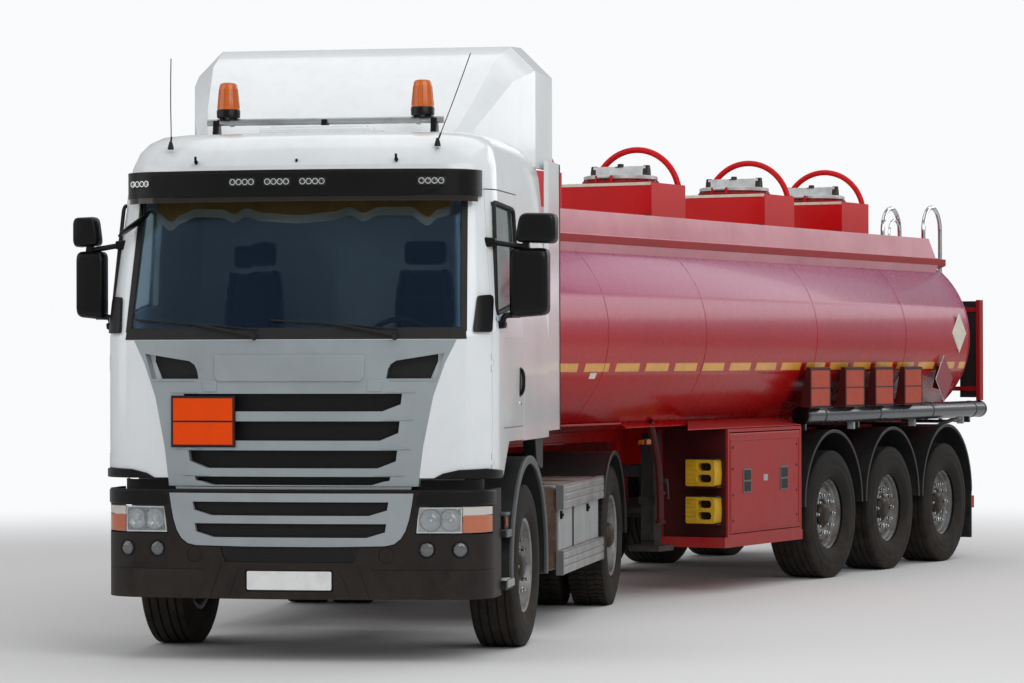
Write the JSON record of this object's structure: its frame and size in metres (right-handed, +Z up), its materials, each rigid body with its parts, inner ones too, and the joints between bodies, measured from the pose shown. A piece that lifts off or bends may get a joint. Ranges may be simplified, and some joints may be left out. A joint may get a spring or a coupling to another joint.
{
  "type": "articulated road tanker",
  "caption": "Articulated road tanker: a sleeper-cab tractor, folded at its fifth wheel, and a red tank semi-trailer with boxed manholes and a side valve cabinet.",
  "frame": {"origin": "on the ground, under the middle of the whole vehicle's bounding box in its parked pose", "axes": "+Z up; +Y towards the tractor's back, so its front faces -Y; +X towards the tractor's left side. The trailer is folded 18.3 degrees about the kingpin, with its back end towards +X"},
  "size_m": [5.222, 12.7346, 3.91],
  "materials": {
    "white_paint": "gloss",
    "grey_paint": "satin",
    "glass": "gloss",
    "lamp_glass": "gloss",
    "black_plastic": "matte",
    "bumper_plastic": "matte",
    "amber": "gloss",
    "trim_plastic": "matte",
    "fabric": "woven",
    "chassis_paint": "satin",
    "cast": "as cast",
    "tank_grey": "satin",
    "tyre": "matte",
    "rim_steel": "satin",
    "red_paint": "gloss",
    "aluminium": "brushed"
  },
  "bodies": {
    "tractor": {"frame_rails": "chassis_paint", "power_train": "cast", "front_bumper": "bumper_plastic", "headlamps": "lamp_glass", "front_mudguards": "black_plastic", "side_tanks": "tank_grey", "drive_mudguards": "black_plastic", "fifth_wheel": "cast", "front_axle": "chassis_paint", "drive_axle": "chassis_paint"},
    "cab": {"cab_shell": "white_paint", "grille_hatch": "grey_paint", "windscreen": "glass", "sun_visor": "black_plastic", "air_deflectors": "white_paint", "roof_beacons": "amber", "dashboard": "trim_plastic", "seats_and_bunk": "fabric"},
    "left_door": {"left_door": "white_paint", "left_window": "glass", "left_mirror": "black_plastic"},
    "right_door": {"right_door": "white_paint", "right_window": "glass", "right_mirror": "black_plastic"},
    "left_knuckle": {"left_knuckle": "cast"},
    "right_knuckle": {"right_knuckle": "cast"},
    "left_steer_wheel": {"steer_tyre_left": "tyre", "steer_rim_left": "rim_steel"},
    "right_steer_wheel": {"steer_tyre_right": "tyre", "steer_rim_right": "rim_steel"},
    "left_drive_wheels": {"drive_tyre_left": "tyre", "drive_rim_left": "rim_steel"},
    "right_drive_wheels": {"drive_tyre_right": "tyre", "drive_rim_right": "rim_steel"},
    "trailer": {"tank": "red_paint", "coaming": "red_paint", "manhole_boxes": "red_paint", "trailer_frame": "red_paint", "landing_legs": "chassis_paint", "trailer_axles": "chassis_paint", "trailer_mudguards": "black_plastic", "hose_tubes": "black_plastic", "valve_cabinet": "red_paint"},
    "cabinet_door": {"cabinet_door": "red_paint"},
    "trailer_wheel_1_left": {"trailer_1_tyre_left": "tyre", "trailer_1_rim_left": "rim_steel"},
    "trailer_wheel_1_right": {"trailer_1_tyre_right": "tyre", "trailer_1_rim_right": "rim_steel"},
    "trailer_wheel_2_left": {"trailer_2_tyre_left": "tyre", "trailer_2_rim_left": "rim_steel"},
    "trailer_wheel_2_right": {"trailer_2_tyre_right": "tyre", "trailer_2_rim_right": "rim_steel"},
    "trailer_wheel_3_left": {"trailer_3_tyre_left": "tyre", "trailer_3_rim_left": "rim_steel"},
    "trailer_wheel_3_right": {"trailer_3_tyre_right": "tyre", "trailer_3_rim_right": "rim_steel"},
    "manhole_lid_1": {"manhole_lid_1": "aluminium"},
    "manhole_lid_2": {"manhole_lid_2": "aluminium"},
    "manhole_lid_3": {"manhole_lid_3": "aluminium"},
    "manhole_lid_4": {"manhole_lid_4": "aluminium"}
  },
  "joints": [
    {"name": "cab_tilt", "type": "hinge", "parent": "tractor", "child": "cab", "pos_m": [-1.14101, -6.26732, 0.75], "axis": [1, 0, 0], "range_deg": [0, 60]},
    {"name": "left_door_hinge", "type": "hinge", "parent": "cab", "child": "left_door", "pos_m": [0.04599, -6.06832, 1.5], "axis": [0, 0, -1], "range_deg": [0, 80]},
    {"name": "right_door_hinge", "type": "hinge", "parent": "cab", "child": "right_door", "pos_m": [-2.32801, -6.06832, 1.5], "axis": [0, 0, 1], "range_deg": [0, 80]},
    {"name": "left_steering", "type": "hinge", "parent": "tractor", "child": "left_knuckle", "pos_m": [-0.31101, -4.91732, 0.514], "axis": [0, 0, 1], "range_deg": [-38, 38]},
    {"name": "right_steering", "type": "hinge", "parent": "tractor", "child": "right_knuckle", "pos_m": [-1.97101, -4.91732, 0.514], "axis": [0, 0, 1], "range_deg": [-38, 38]},
    {"name": "left_steer_spin", "type": "hinge", "parent": "left_knuckle", "child": "left_steer_wheel", "pos_m": [-0.08301, -4.91732, 0.514], "axis": [1, 0, 0], "continuous": true},
    {"name": "right_steer_spin", "type": "hinge", "parent": "right_knuckle", "child": "right_steer_wheel", "pos_m": [-2.19901, -4.91732, 0.514], "axis": [1, 0, 0], "continuous": true},
    {"name": "left_drive_spin", "type": "hinge", "parent": "tractor", "child": "left_drive_wheels", "pos_m": [-0.22901, -1.21732, 0.514], "axis": [1, 0, 0], "continuous": true},
    {"name": "right_drive_spin", "type": "hinge", "parent": "tractor", "child": "right_drive_wheels", "pos_m": [-2.05301, -1.21732, 0.514], "axis": [1, 0, 0], "continuous": true},
    {"name": "fifth_wheel_turn", "type": "hinge", "parent": "tractor", "child": "trailer", "pos_m": [-1.14101, -1.80732, 1.15], "axis": [0, 0, 1], "range_deg": [-56.7, 93.3]},
    {"name": "trailer_spin_1_left", "type": "hinge", "parent": "trailer", "child": "trailer_wheel_1_left", "pos_m": [1.2779, 2.18507, 0.53], "axis": [0.9494, -0.314, 0], "continuous": true},
    {"name": "trailer_spin_1_right", "type": "hinge", "parent": "trailer", "child": "trailer_wheel_1_right", "pos_m": [-0.7026, 2.84006, 0.53], "axis": [0.9494, -0.314, 0], "continuous": true},
    {"name": "trailer_spin_2_left", "type": "hinge", "parent": "trailer", "child": "trailer_wheel_2_left", "pos_m": [1.68923, 3.42882, 0.53], "axis": [0.9494, -0.314, 0], "continuous": true},
    {"name": "trailer_spin_2_right", "type": "hinge", "parent": "trailer", "child": "trailer_wheel_2_right", "pos_m": [-0.29127, 4.08381, 0.53], "axis": [0.9494, -0.314, 0], "continuous": true},
    {"name": "trailer_spin_3_left", "type": "hinge", "parent": "trailer", "child": "trailer_wheel_3_left", "pos_m": [2.10056, 4.67257, 0.53], "axis": [0.9494, -0.314, 0], "continuous": true},
    {"name": "trailer_spin_3_right", "type": "hinge", "parent": "trailer", "child": "trailer_wheel_3_right", "pos_m": [0.12006, 5.32756, 0.53], "axis": [0.9494, -0.314, 0], "continuous": true},
    {"name": "manhole_hinge_1", "type": "hinge", "parent": "trailer", "child": "manhole_lid_1", "pos_m": [-0.96047, -1.2614, 3.283], "axis": [0.9494, -0.314, 0], "range_deg": [0, 100]},
    {"name": "manhole_hinge_2", "type": "hinge", "parent": "trailer", "child": "manhole_lid_2", "pos_m": [-0.27282, 0.81784, 3.283], "axis": [0.9494, -0.314, 0], "range_deg": [0, 100]},
    {"name": "manhole_hinge_3", "type": "hinge", "parent": "trailer", "child": "manhole_lid_3", "pos_m": [0.42424, 2.92557, 3.283], "axis": [0.9494, -0.314, 0], "range_deg": [0, 100]},
    {"name": "manhole_hinge_4", "type": "hinge", "parent": "trailer", "child": "manhole_lid_4", "pos_m": [0.9596, 4.54434, 3.283], "axis": [0.9494, -0.314, 0], "range_deg": [0, 100]},
    {"name": "cabinet_hinge", "type": "hinge", "parent": "trailer", "child": "cabinet_door", "pos_m": [1.01434, 0.7687, 1.2305], "axis": [-0.314, -0.9494, 0], "range_deg": [0, 100]}
  ],
  "couplings": [
    {"joint": "right_steering", "follows": "left_steering", "ratio": 1}
  ]
}
